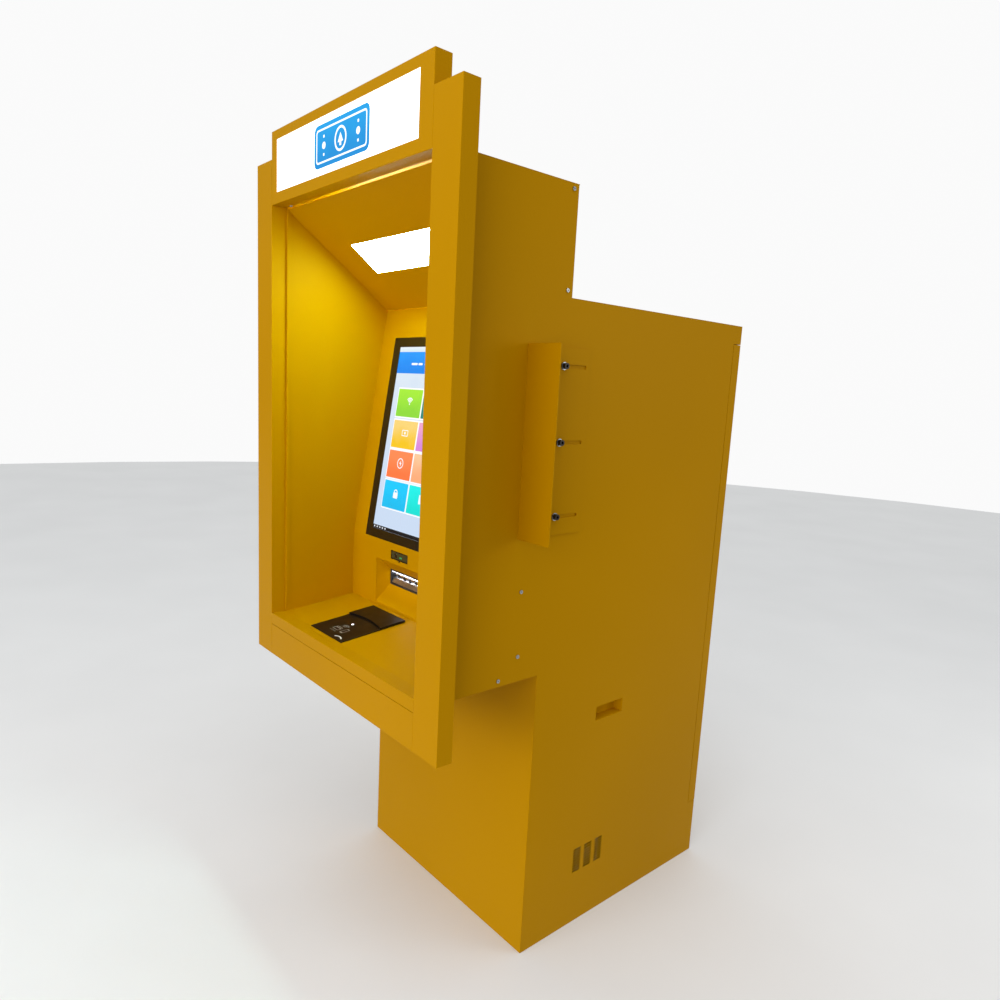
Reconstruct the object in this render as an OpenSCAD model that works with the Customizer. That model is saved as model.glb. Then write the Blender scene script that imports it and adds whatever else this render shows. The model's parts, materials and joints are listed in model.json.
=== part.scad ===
// Through-the-wall self-service cash machine.
// A tall service cabinet stands behind the wall. An alcove box reaches forward through
// the wall and ends in a surround of two posts, a lit header and an apron.
// X runs across the machine, -Y points at the user and +Z is up. The origin is the
// centre of the cabinet's footprint, on the underside of the base plate.

/* [Cabinet] */
// Outside width of the cabinet and of the alcove box
body_w = 714; // [710:1:716]
// Depth of the cabinet, front sheet to rear door
cab_d = 770; // [750:5:800]
// Height of the cabinet
cab_h = 1700; // [1690:5:1710]
// Thickness of the folded steel sheets
sheet = 2; // [1.5:0.5:2]
// Thickness of the base plate
base_t = 3; // [2:1:5]

/* [Alcove box] */
// How far the alcove box stands in front of the cabinet
box_reach = 334; // [330:1:345]
// How far the alcove box runs back over the cabinet
box_overlap = 40; // [38:1:45]
// Underside of the alcove box
box_z0 = 782; // [780:1:784]
// Top of the alcove box
box_z1 = 1950; // [1945:1:1960]

/* [Surround] */
// Overall width of the surround
frame_w = 900; // [896:2:930]
// Width of one post
post_w = 90; // [84:1:90]
// Depth of the surround, front face to wall face
frame_t = 41; // [38:1:45]
// Lower end of the posts and of the apron
post_z0 = 693; // [680:1:700]
// Upper end of the posts
post_z1 = 2043; // [2030:1:2060]
// Underside of the header
lintel_z = 1930; // [1928:1:1932]
// Top of the header
header_z = 2110; // [2100:1:2130]
// Width of the lit sign in the header
sign_w = 644; // [600:2:660]
// Height of the lit sign in the header
sign_h = 129; // [110:1:135]
// How far the sign's centre lies to the right of the header's centre
sign_x = -10; // [-12:1:12]

/* [Alcove] */
// Height of the shelf at its front edge
shelf_z0 = 814; // [812:1:816]
// Height of the shelf where it meets the fascia
shelf_z1 = 837.5; // [835:0.5:838]
// Depth of the fascia behind the front face of the surround
fascia_in = 262; // [260:1:266]
// Height at which the fascia starts to lean back
bend_z = 1032; // [1030:1:1036]
// Lean of the upper fascia, in degrees
lean = 8.6; // [8:0.1:9]
// Length of the leaning fascia
lean_len = 671; // [668:1:674]
// Distance of the screen's centre line to the left of the machine's
service_x = -105; // [-108:1:-100]

/* [Screen] */
// Width of the picture area
screen_w = 299; // [290:1:310]
// Height of the picture area
screen_h = 531.5; // [520:0.5:540]
// Width of the black glass border
screen_rim = 27; // [22:1:30]
// Extra border at each side of the picture
screen_side = 6.5; // [0:0.5:8]
// Gap from the bend to the lower edge of the glass border
screen_up = 4; // [3:0.5:8]

/* [Cash intake] */
// Width of the intake pocket at the fascia
pocket_w = 234; // [226:1:240]
// Height of the intake pocket at the fascia
pocket_h = 131; // [126:1:134]
// Depth of the pocket
pocket_d = 39; // [36:1:42]
// Width of the throat window at the back of the pocket
throat_w = 200; // [196:1:204]
// Height of the throat window
throat_h = 45; // [44:1:48]
// Radius of the feed rollers
roller_r = 7.5; // [7:0.1:7.5]

/* [Rear door] */
// Lower edge of the door
door_z0 = 178.5; // [170:0.5:190]
// Upper edge of the door
door_z1 = 1645.5; // [1640:0.5:1650]
// Depth of the door tray
door_d = 34; // [33:1:35]
// Height of the door handle
handle_z = 900; // [850:5:950]

/* [Wall brackets] */
// Width of the bracket flange that bears on the wall
flange_w = 103; // [80:1:110]
// Height of a wall bracket
bracket_h = 448; // [440:2:460]
// Length of the leg along the side of the cabinet
bracket_leg = 206; // [200:1:210]
// Length of an adjusting slot, end to end
slot_len = 156; // [150:1:160]

/* [Hidden] */
$fn = 48;

// Colours
paint = "#c98d00";
black = "#15130f";
zinc = "#a9adb0";
steel = "#c9ccce";
plastic = "#2b2b2d";
lit = "#f6f8ff";

// Main planes
half = body_w / 2;
inner = half - sheet;
rear_y = cab_d / 2;
front_y = -rear_y;
mouth_y = front_y - box_reach;
face_y = mouth_y - frame_t;
box_y1 = front_y + box_overlap;
fascia_y = face_y + fascia_in;
frame_half = frame_w / 2;
post_in = frame_half - post_w;
fit_gap = 0.5;
lip = 18;

// Door opening and pivots
band_gap = 1.5;
pivot_x = -(half - 14);
pivot_y = rear_y - 14;
pin_r = 5;
door_y0 = rear_y - door_d;
side_y1 = door_y0 - 2.5;
run_fit = 0.05;

// Lock gear: the racks move by lock_r for each radian of the handle
tooth_m = 1.75;
tooth_n = 14;
tooth_pa = 25;
backlash = 0.16;
lock_r = tooth_m * tooth_n / 2;
rack_root = 1.15 * tooth_m;
rack_tip = 0.9 * tooth_m;
rod_w = 10;
lock_x = 255;
rod_y0 = rear_y - 23;
spindle_r = 8;

// Holes shared by sheets and fasteners
bolt_r = 4;
bolt_y = front_y + 22;
bolt_pitch = 179.5;
bolt_z = 1364;
bracket_z0 = bolt_z - bracket_h / 2 - 1;
bracket_t = 3;
bracket_gap = 0.3;
screw_r = 2.5;
screw_at = [[box_y1 - 19, box_z1 - 13], [box_y1 - 19, cab_h + 15], [fascia_y + 41, 1009],
    [fascia_y + 41, 847], [fascia_y - 18, 798]];

// Hand hole and vent in each side sheet
hand_y = -92;
hand_z = 618;
hand_w = 110;
hand_h = 40;
hand_d = 30;
vent_y = -139;
vent_z = 193;
vent_rows = 9;
vent_cols = 3;
vent_slot = [30, 5];
vent_pitch = [44, 8.1];

// A box between two opposite corners.
module span(a, b) {
    translate(a) cube(b - a);
}

// A profile drawn in the Y-Z plane, extruded along X from x0 to x1.
module profile_x(x0, x1) {
    translate([x0, 0, 0]) rotate([90, 0, 90]) linear_extrude(x1 - x0) children();
}

// A profile drawn in the X-Z plane, extruded along Y from y0 to y1.
module profile_y(y0, y1) {
    translate([0, y1, 0]) rotate([90, 0, 0]) linear_extrude(y1 - y0) children();
}

// The child and its mirror image on the other side of the machine.
module both_sides() {
    children();
    mirror([1, 0, 0]) children();
}

// A cylinder along X, Y or Z that starts at a point.
module rod_x(p, r, h) {
    translate(p) rotate([0, 90, 0]) cylinder(r = r, h = h);
}

module rod_y(p, r, h) {
    translate(p) rotate([-90, 0, 0]) cylinder(r = r, h = h);
}

module rod_z(p, r, h) {
    translate(p) cylinder(r = r, h = h);
}

// Local frame of the leaning fascia: +Y into the machine, +Z up the slope.
module on_screen() {
    translate([service_x, fascia_y, bend_z]) rotate([-lean, 0, 0]) children();
}

// Local frame of the sloping shelf: +Y up the slope, +Z off the shelf.
shelf_tilt = atan2(shelf_z1 - shelf_z0, fascia_y - mouth_y);
module on_shelf() {
    translate([reader_x, mouth_y, shelf_z0]) rotate([shelf_tilt, 0, 0]) children();
}

// Local frame of the sloping ceiling: +Y down the slope to the back, +Z above it.
ceiling_z0 = lintel_z - 3;
fascia_top = [fascia_y + lean_len * sin(lean), bend_z + lean_len * cos(lean)];
ceiling_run = fascia_top[0] - mouth_y;
ceiling_drop = ceiling_z0 - fascia_top[1];
ceiling_tilt = atan2(ceiling_drop, ceiling_run);
ceiling_len = norm([ceiling_run, ceiling_drop]);
module on_ceiling() {
    translate([0, mouth_y, ceiling_z0]) rotate([-ceiling_tilt, 0, 0]) children();
}

// ---------------------------------------------------------------- cabinet

anchor = [300, 320];
anchor_r = 7;
grommet_at = [-250, 250];
grommet_r = 25;

module base_plate() {
    color(paint) difference() {
        span([-half, front_y, 0], [half, rear_y, base_t]);
        for (x = [-1, 1], y = [-1, 1])
            rod_z([x * anchor[0], y * anchor[1], -1], anchor_r, base_t + 2);
        rod_z([grommet_at[0], grommet_at[1], -1], grommet_r, base_t + 2);
    }
}

module cable_grommet() {
    color(black) difference() {
        union() {
            rod_z([grommet_at[0], grommet_at[1], 0], grommet_r, base_t);
            rod_z([grommet_at[0], grommet_at[1], base_t], grommet_r + 5, 3);
        }
        rod_z([grommet_at[0], grommet_at[1], -1], grommet_r - 5, base_t + 5);
    }
}

// Side outline, from the alcove box back to the door opening.
side_outline = [[mouth_y, box_z0 + sheet], [front_y + sheet, box_z0 + sheet],
    [front_y + sheet, base_t], [rear_y - sheet, base_t],
    [rear_y - sheet, door_z0 - band_gap], [side_y1, door_z0 - band_gap],
    [side_y1, door_z1 + band_gap], [rear_y - sheet, door_z1 + band_gap],
    [rear_y - sheet, cab_h - sheet], [box_y1 - sheet, cab_h - sheet],
    [box_y1 - sheet, box_z1 - sheet], [mouth_y, box_z1 - sheet]];

module vent_slots() {
    for (c = [0 : vent_cols - 1], r = [0 : vent_rows - 1])
        translate([inner - 1, vent_y + (c - (vent_cols - 1) / 2) * vent_pitch[0]
            - vent_slot[0] / 2, vent_z + (r - (vent_rows - 1) / 2) * vent_pitch[1]
            - vent_slot[1] / 2])
            cube([sheet + 2, vent_slot[0], vent_slot[1]]);
}

module side_sheet() {
    flange = 19;
    color(paint) difference() {
        union() {
            profile_x(inner, half) polygon(side_outline);
            span([inner, mouth_y, box_z0 + sheet],
                [half + flange, mouth_y + sheet, box_z1 - sheet]);
        }
        span([inner - 1, hand_y - hand_w / 2, hand_z - hand_h / 2],
            [half + 1, hand_y + hand_w / 2, hand_z + hand_h / 2]);
        vent_slots();
        for (p = screw_at)
            rod_x([inner - 1, p[0], p[1]], screw_r, sheet + 2);
        for (i = [-1 : 1])
            rod_x([inner - 1, bolt_y, bolt_z + i * bolt_pitch], bolt_r, sheet + 2);
    }
}

module side_sheet_right() {
    side_sheet();
}

module side_sheet_left() {
    mirror([1, 0, 0]) side_sheet();
}

module cabinet_front() {
    color(paint) union() {
        span([-half, front_y, base_t], [half, front_y + sheet, box_z0]);
        both_sides()
            span([inner - sheet, front_y + sheet, base_t],
                [inner, front_y + 25, box_z0]);
    }
}

module cabinet_top() {
    color(paint) union() {
        span([-half, box_y1 - sheet, cab_h - sheet], [half, rear_y - sheet, cab_h]);
        both_sides()
            span([inner - sheet, box_y1 + 5, cab_h - 25],
                [inner, side_y1 - 5, cab_h - sheet]);
    }
}

// Hole that lets a lock rod through a flange.
rod_hole = rod_w + 1.5;
module rod_slot(x, z) {
    translate([x - rod_hole / 2, rod_y0 + rod_w / 2 - rod_hole / 2, z - 5])
        cube([rod_hole, rod_hole, 10]);
}

rod_mid = lock_r + rack_root + rod_w / 2;
upper_rod_x = lock_x + rod_mid;
lower_rod_x = lock_x - rod_mid;
band_y0 = side_y1 - 3;

module rear_top_band() {
    z0 = door_z1 + band_gap;
    color(paint) difference() {
        union() {
            span([-half, rear_y - sheet, z0], [half, rear_y, cab_h]);
            span([-inner, band_y0, z0], [inner, rear_y - sheet, z0 + sheet]);
            span([-inner, band_y0, z0 + sheet], [inner, band_y0 + sheet, z0 + 20]);
        }
        rod_z([pivot_x, pivot_y, z0 - 1], pin_r, sheet + 2);
        rod_slot(upper_rod_x, z0 + sheet / 2);
    }
}

module rear_bottom_band() {
    z1 = door_z0 - band_gap;
    color(paint) difference() {
        union() {
            span([-half, rear_y - sheet, base_t], [half, rear_y, z1]);
            span([-inner, band_y0, z1 - sheet], [inner, rear_y - sheet, z1]);
            span([-inner, band_y0, z1 - 20], [inner, band_y0 + sheet, z1 - sheet]);
        }
        rod_z([pivot_x, pivot_y, z1 - sheet - 1], pin_r, sheet + 2);
        rod_slot(lower_rod_x, z1 - sheet / 2);
    }
}

// Z-shaped jamb: a web behind the door edge and a lip that the door seal meets.
jamb_web_y = side_y1 - 8;
jamb_x = half - 40;
jamb_lip = 24;
seal_y = rear_y - 11;
module door_jambs() {
    z0 = door_z0 - band_gap;
    z1 = door_z1 + band_gap;
    color(zinc) both_sides() union() {
        span([inner - sheet, jamb_web_y - 40, z0], [inner, jamb_web_y + sheet, z1]);
        span([jamb_x - sheet, jamb_web_y, z0], [inner, jamb_web_y + sheet, z1]);
        span([jamb_x - sheet, jamb_web_y, z0 + 7], [jamb_x, seal_y, z1 - 7]);
        span([jamb_x - jamb_lip, seal_y - sheet, z0 + 7], [jamb_x, seal_y, z1 - 7]);
    }
}

// A pin with a thrust collar at each end of the door.
module hinge_pins() {
    z0 = door_z0 - band_gap;
    z1 = door_z1 + band_gap;
    color(steel) union() {
        rod_z([pivot_x, pivot_y, z0 - 8], pin_r, 26);
        rod_z([pivot_x, pivot_y, z0], 9, band_gap - 0.1);
    }
    color(steel) union() {
        rod_z([pivot_x, pivot_y, z1 - 18], pin_r, 26);
        rod_z([pivot_x, pivot_y, z1 + sheet], 9, 4);
    }
}

module hand_cups() {
    wall = 2;
    color(paint) both_sides() difference() {
        span([inner - hand_d, hand_y - hand_w / 2 - wall, hand_z - hand_h / 2 - wall],
            [inner, hand_y + hand_w / 2 + wall, hand_z + hand_h / 2 + wall]);
        span([inner - hand_d + wall, hand_y - hand_w / 2, hand_z - hand_h / 2],
            [inner + 1, hand_y + hand_w / 2, hand_z + hand_h / 2]);
    }
}

module side_screws() {
    head_h = 2.4;
    socket_d = 1.5;
    color(zinc) both_sides()
        for (p = screw_at)
            difference() {
                union() {
                    rod_x([half, p[0], p[1]], screw_r * 1.9, head_h);
                    rod_x([inner - 6, p[0], p[1]], screw_r, sheet + 6.1);
                }
                translate([half + head_h - socket_d, p[0], p[1]]) rotate([0, 90, 0])
                    cylinder(r = 1.8, h = socket_d + 1, $fn = 6);
            }
}

// ---------------------------------------------------------------- alcove box

module box_top() {
    color(paint) union() {
        span([-half, mouth_y, box_z1 - sheet], [half, box_y1, box_z1]);
        span([-half, mouth_y, box_z1], [half, mouth_y + sheet, box_z1 + lip]);
    }
}

module box_bottom() {
    color(paint) union() {
        span([-half, mouth_y, box_z0], [half, front_y + sheet, box_z0 + sheet]);
        span([-half, mouth_y, box_z0 - lip], [half, mouth_y + sheet, box_z0]);
    }
}

module box_rear() {
    color(paint) difference() {
        union() {
            span([-inner, box_y1 - sheet, cab_h], [inner, box_y1, box_z1 - sheet]);
            both_sides()
                span([inner - sheet, box_y1 - 32, cab_h + 2],
                    [inner, box_y1 - sheet, box_z1 - sheet - 1]);
        }
        both_sides()
            for (i = [0, 1])
                rod_x([inner - sheet - 1, screw_at[i][0], screw_at[i][1]],
                    screw_r, sheet + 2);
    }
}

// ---------------------------------------------------------------- surround

// Lipped channel, open towards the wall, with its front face at y = face_y.
function channel(x0, x1) = [[x0, mouth_y], [x0, face_y], [x1, face_y], [x1, mouth_y],
    [x1 - lip, mouth_y], [x1 - lip, mouth_y - sheet], [x1 - sheet, mouth_y - sheet],
    [x1 - sheet, face_y + sheet], [x0 + sheet, face_y + sheet],
    [x0 + sheet, mouth_y - sheet], [x0 + lip, mouth_y - sheet], [x0 + lip, mouth_y]];

// The caps stop short of the wall, so only the lips of the channel bear on it.
module post() {
    cap_back = 0.5;
    color(paint) union() {
        translate([0, 0, post_z0]) linear_extrude(post_z1 - post_z0)
            polygon(channel(post_in, frame_half));
        for (z = [post_z0, post_z1 - sheet])
            span([post_in, face_y, z], [frame_half, mouth_y - cap_back, z + sheet]);
    }
}

module post_right() {
    post();
}

module post_left() {
    mirror([1, 0, 0]) post();
}

module apron() {
    z1 = box_z0 - 0.5;
    w = post_in - fit_gap;
    color(paint) union() {
        profile_x(-w, w)
            polygon([for (p = channel(post_z0, z1)) [p[1], p[0]]]);
        both_sides()
            span([w - sheet, face_y, post_z0], [w, mouth_y, z1]);
    }
}

sign_z0 = lintel_z + 28;
module header_box() {
    w = post_in - fit_gap;
    color(paint) difference() {
        span([-w, face_y, lintel_z], [w, mouth_y, header_z]);
        span([-w + sheet, face_y + sheet, lintel_z + sheet],
            [w - sheet, mouth_y - sheet, header_z - sheet]);
        span([sign_x - sign_w / 2, face_y - 1, sign_z0],
            [sign_x + sign_w / 2, face_y + sheet + 1, sign_z0 + sign_h]);
    }
}

module header_diffuser() {
    rim = 6;
    color(lit)
        span([sign_x - sign_w / 2 - rim, face_y + sheet, sign_z0 - rim],
            [sign_x + sign_w / 2 + rim, face_y + sheet + 3, sign_z0 + sign_h + rim]);
}

// Three aluminium bars with a row of LED lenses on each.
module header_leds() {
    bar_h = 12;
    led_pitch = 40;
    leds = 15;
    y1 = mouth_y - sheet;
    color(steel)
        for (i = [0 : 2])
            translate([sign_x, y1, sign_z0 + sign_h * (i + 0.5) / 3])
                union() {
                    span([-sign_w / 2 + 6, -3, -bar_h / 2], [sign_w / 2 - 6, 0, bar_h / 2]);
                    for (k = [0 : leds - 1])
                        rod_y([(k - (leds - 1) / 2) * led_pitch, -6, 0], 4, 3.1);
                }
}

// ---------------------------------------------------------------- alcove

reader_x = service_x - 9;
reader_w = 166;
reader_l = 200;
reader_wall = 9;

module shelf() {
    w = post_in - fit_gap;
    lip_z = box_z0 + 1;
    // drop of a side flange below the shelf
    drop = 48;
    // how far the shelf runs on behind the fascia's front face
    tuck = 12;
    slope = (shelf_z1 - shelf_z0) / (fascia_y - mouth_y);
    end_z = shelf_z1 + slope * tuck;
    y_end = fascia_y + tuck;
    color(paint) difference() {
        union() {
            profile_x(-w, w)
                polygon([[face_y, lip_z], [face_y, shelf_z0], [mouth_y, shelf_z0],
                    [mouth_y, shelf_z0 - sheet], [face_y + sheet, shelf_z0 - sheet],
                    [face_y + sheet, lip_z]]);
            profile_x(-inner, inner)
                polygon([[mouth_y - 1, shelf_z0], [mouth_y, shelf_z0], [y_end, end_z],
                    [y_end, end_z - sheet], [mouth_y, shelf_z0 - sheet],
                    [mouth_y - 1, shelf_z0 - sheet]]);
            both_sides()
                profile_x(inner - sheet, inner)
                    polygon([[mouth_y + 3, shelf_z0 - sheet / 2],
                        [fascia_y - 2, shelf_z1 - sheet / 2],
                        [fascia_y - 2, shelf_z1 - drop], [mouth_y + 3, shelf_z0 - 30]]);
        }
        on_shelf()
            span([-reader_w / 2 + reader_wall, reader_wall, -10],
                [reader_w / 2 - reader_wall, reader_l - reader_wall, 10]);
        span([service_x - 68, mouth_y - 17, shelf_z0 - 5],
            [service_x + 62, mouth_y - 15.6, shelf_z0 + 5]);
        both_sides()
            rod_x([inner - sheet - 1, screw_at[4][0], screw_at[4][1]], screw_r, sheet + 2);
    }
}

glass_w = screen_w + 2 * (screen_rim + screen_side);
glass_h = screen_h + 2 * screen_rim;
bezel_t = 4;
pocket_z0 = shelf_z1 + 8.5;
scan_w = 84.5;
scan_h = 25;
scan_z0 = bend_z - 42;
card_x = 215;
card_z = 905;
receipt_z = 985;

// Front outline of the scanner window, with a small tab under its middle.
module scan_outline(grow) {
    tab = 8;
    translate([service_x - scan_w / 2 - grow, scan_z0 - grow])
        square([scan_w + 2 * grow, scan_h + 2 * grow]);
    translate([service_x, scan_z0 - 0.5])
        circle(r = tab / 2 + grow);
}

module fascia() {
    edge = [sin(lean) * lean_len, cos(lean) * lean_len];
    back = [cos(lean) * sheet, -sin(lean) * sheet];
    bend_in = sheet * tan(lean / 2);
    // depth of the side flanges behind the sheet
    flange = 50;
    gap = 0.3;
    color(paint) difference() {
        union() {
            profile_x(-inner, inner)
                polygon([[fascia_y, shelf_z1 + 0.2], [fascia_y, bend_z],
                    [fascia_y + edge[0], bend_z + edge[1]],
                    [fascia_y + edge[0] + back[0], bend_z + edge[1] + back[1]],
                    [fascia_y + sheet, bend_z - bend_in],
                    [fascia_y + sheet, shelf_z1 + 0.2 + sheet / 5]]);
            both_sides()
                profile_x(inner - sheet, inner)
                    polygon([[fascia_y + 1, shelf_z1 + 6], [fascia_y + 1, bend_z],
                        [fascia_y + 1 + edge[0] - 3, bend_z + edge[1] - 20],
                        [fascia_y + edge[0] + 27, bend_z + edge[1] - 24],
                        [fascia_y + flange, bend_z], [fascia_y + flange, shelf_z1 + 8]]);
        }
        on_screen()
            span([-glass_w / 2 - gap, -5, screen_up - gap],
                [glass_w / 2 + gap, 20, screen_up + glass_h + gap]);
        translate([service_x, 0, 0])
            span([-pocket_w / 2, fascia_y - 1, pocket_z0],
                [pocket_w / 2, fascia_y + sheet + 1, pocket_z0 + pocket_h]);
        profile_y(fascia_y - 1, fascia_y + sheet + 1) scan_outline(gap);
        span([card_x - 32, fascia_y - 1, card_z - 7],
            [card_x + 32, fascia_y + sheet + 1, card_z + 7]);
        span([card_x - 45, fascia_y - 1, receipt_z - 8],
            [card_x + 45, fascia_y + sheet + 1, receipt_z + 8]);
        both_sides()
            for (i = [2, 3])
                rod_x([inner - sheet - 1, screw_at[i][0], screw_at[i][1]],
                    screw_r, sheet + 2);
    }
}

light_w = 452;
light_l = 103.5;
light_y = 149;
module ceiling() {
    color(paint) difference() {
        union() {
            on_ceiling()
                span([-inner, 3, 0], [inner, ceiling_len - 3, sheet]);
            both_sides()
                on_ceiling()
                    span([inner - sheet, 12, sheet / 2], [inner, ceiling_len - 12, 22]);
        }
        on_ceiling()
            span([-light_w / 2, light_y, -5], [light_w / 2, light_y + light_l, 10]);
    }
}

// Opal panel with its shallow lamp tray, set in the ceiling cut-out.
module alcove_light() {
    rim = 12;
    color(lit) on_ceiling() union() {
        span([-light_w / 2 + 0.3, light_y + 0.3, 0.4],
            [light_w / 2 - 0.3, light_y + light_l - 0.3, sheet]);
        span([-light_w / 2 - rim, light_y - rim, sheet],
            [light_w / 2 + rim, light_y + light_l + rim, sheet + 24]);
    }
}

module monitor_bezel() {
    color(black) on_screen() difference() {
        span([-glass_w / 2, 0, screen_up], [glass_w / 2, bezel_t, screen_up + glass_h]);
        span([-screen_w / 2, -1, screen_up + screen_rim],
            [screen_w / 2, bezel_t + 1, screen_up + screen_rim + screen_h]);
    }
}

module touch_display() {
    color(lit) on_screen()
        span([-screen_w / 2 + 0.1, 0.8, screen_up + screen_rim + 0.1],
            [screen_w / 2 - 0.1, bezel_t, screen_up + screen_rim + screen_h - 0.1]);
}

module monitor_housing() {
    inset = 12;
    depth = 40;
    color(plastic) on_screen() union() {
        span([-glass_w / 2 + inset, bezel_t, screen_up + inset],
            [glass_w / 2 - inset, depth, screen_up + glass_h - inset]);
        span([-60, depth - 1, screen_up + glass_h / 2 - 60],
            [60, depth + 4, screen_up + glass_h / 2 + 60]);
    }
}

module code_scanner() {
    color(black) union() {
        profile_y(fascia_y + 0.8, fascia_y + sheet + 1) scan_outline(0);
        span([service_x - 46, fascia_y + sheet, scan_z0 - 3],
            [service_x + 46, fascia_y + 56, scan_z0 + scan_h + 4]);
    }
}

// ---------------------------------------------------------------- cash intake

throat_z0 = pocket_z0 + 51;
pocket_y1 = fascia_y + pocket_d;

// A four-sided funnel solid from the fascia cut-out to the throat window.
module funnel(grow, y0, y1) {
    hull() {
        translate([service_x - pocket_w / 2 - grow, y0, pocket_z0 - grow])
            cube([pocket_w + 2 * grow, 0.01, pocket_h + 2 * grow]);
        translate([service_x - throat_w / 2 - grow, y1 - 0.01, throat_z0 - grow])
            cube([throat_w + 2 * grow, 0.01, throat_h + 2 * grow]);
    }
}

module note_pocket() {
    wall = 2;
    color(paint) difference() {
        funnel(wall, fascia_y + sheet, pocket_y1);
        funnel(0, fascia_y + sheet - 0.02, pocket_y1 + 0.02);
    }
}

shaft_r = 3;
throat_d = 30;
throat_mid = throat_z0 + throat_h / 2;
roller_y = pocket_y1 + 17;
roller_step = roller_r + 0.25;
rollers = 7;
throat_rim = 4;
throat_ledge = 5;

module note_throat() {
    ox = throat_w / 2 + throat_rim;
    ix = throat_w / 2 - throat_ledge;
    color(plastic) difference() {
        span([service_x - ox, pocket_y1, throat_z0 - throat_rim],
            [service_x + ox, pocket_y1 + throat_d, throat_z0 + throat_h + throat_rim]);
        span([service_x - ix, pocket_y1 - 1, throat_z0 + throat_ledge],
            [service_x + ix, pocket_y1 + throat_d + 1, throat_z0 + throat_h - throat_ledge]);
        for (s = [-1, 1])
            rod_x([service_x - ox - 1, roller_y, throat_mid + s * roller_step],
                shaft_r + run_fit, 2 * ox + 2);
    }
}

// A shaft that carries a row of rollers.
module roller_shaft(z) {
    ox = throat_w / 2 + throat_rim;
    pitch = 28.5;
    width = 17;
    union() {
        rod_x([service_x - ox + 1, roller_y, z], shaft_r, 2 * ox - 2);
        for (i = [0 : rollers - 1])
            rod_x([service_x + (i - (rollers - 1) / 2) * pitch - width / 2, roller_y, z],
                roller_r, width);
    }
}

module feed_rollers() {
    color(steel) roller_shaft(throat_mid + roller_step);
}

module pinch_rollers() {
    color(zinc) roller_shaft(throat_mid - roller_step);
}

rack_top = pocket_z0 + 16;
module note_acceptor() {
    y0 = pocket_y1 + throat_d;
    color(plastic) union() {
        span([service_x - 120, y0, rack_top], [service_x + 120, y0 + 300, rack_top + 138]);
        span([service_x - 80, y0 + 300, rack_top + 20],
            [service_x + 80, y0 + 312, rack_top + 118]);
    }
}

// ---------------------------------------------------------------- counter-top reader

module reader_body() {
    wall = reader_wall + 0.5;
    color(black) on_shelf() union() {
        span([-reader_w / 2, 0, 0.05], [reader_w / 2, reader_l, 2.5]);
        span([-reader_w / 2 + wall, wall, -22],
            [reader_w / 2 - wall, reader_l - wall, 0.1]);
    }
}

// Raised rear hood whose front edge curves back for the fingers.
hood_y = 119;
hood_sag = 12;
module reader_hood() {
    arc_r = (pow(reader_w / 2, 2) + pow(hood_sag, 2)) / (2 * hood_sag);
    height = 4.5;
    color(black) on_shelf() difference() {
        span([-reader_w / 2, hood_y, 2.5], [reader_w / 2, reader_l, 2.5 + height]);
        rod_z([0, hood_y + hood_sag - arc_r, 0], arc_r, 20);
    }
}

// ---------------------------------------------------------------- card and receipt modules

module card_bezel() {
    color(plastic) difference() {
        union() {
            span([card_x - 52, fascia_y - 5, card_z - 28],
                [card_x + 52, fascia_y, card_z + 28]);
            span([card_x - 31.5, fascia_y, card_z - 6.5],
                [card_x + 31.5, fascia_y + sheet, card_z + 6.5]);
        }
        span([card_x - 28, fascia_y - 10, card_z - 0.8],
            [card_x + 28, fascia_y + 10, card_z + 0.8]);
    }
}

module card_reader() {
    color(zinc) difference() {
        span([card_x - 40, fascia_y + sheet, card_z - 18],
            [card_x + 40, fascia_y + 118, card_z + 22]);
        span([card_x - 28, fascia_y, card_z - 0.8],
            [card_x + 28, fascia_y + 90, card_z + 0.8]);
    }
}

module receipt_bezel() {
    color(plastic) difference() {
        union() {
            span([card_x - 56, fascia_y - 5, receipt_z - 20],
                [card_x + 56, fascia_y, receipt_z + 20]);
            span([card_x - 44.5, fascia_y, receipt_z - 7.5],
                [card_x + 44.5, fascia_y + sheet, receipt_z + 7.5]);
        }
        span([card_x - 41, fascia_y - 10, receipt_z - 1.5],
            [card_x + 41, fascia_y + 10, receipt_z + 1.5]);
    }
}

roll_y = fascia_y + 110;
roll_z = receipt_z + 55;
spindle = 6;
roll_w = 100;
module receipt_printer() {
    cheek = 57;
    color(zinc) union() {
        difference() {
            span([card_x - cheek + 2, fascia_y + sheet, receipt_z - 28],
                [card_x + cheek - 2, fascia_y + 60, receipt_z + 30]);
            span([card_x - 41, fascia_y, receipt_z - 1.5],
                [card_x + 41, fascia_y + 50, receipt_z + 1.5]);
        }
        for (s = [-1, 1])
            translate([card_x + s * (cheek - 1), 0, 0])
                span([-1, fascia_y + 22, receipt_z - 28],
                    [1, fascia_y + 165, roll_z + 46]);
        span([card_x - cheek + 1, fascia_y + 55, receipt_z - 28],
            [card_x + cheek - 1, fascia_y + 165, receipt_z - 26]);
        rod_x([card_x - cheek + 1, roll_y, roll_z], spindle, 2 * cheek - 2);
    }
}

module paper_roll() {
    color("white") difference() {
        rod_x([card_x - roll_w / 2, roll_y, roll_z], 38, roll_w);
        rod_x([card_x - roll_w / 2 - 1, roll_y, roll_z], spindle + run_fit, roll_w + 2);
    }
}

// ---------------------------------------------------------------- service equipment

fan_w = 92;
fan_t = 25;
fan_bore = 43;
fan_axle = 2;

module at_fan() {
    translate([inner - fan_t, vent_y, vent_z]) rotate([0, 90, 0]) children();
}

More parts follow.
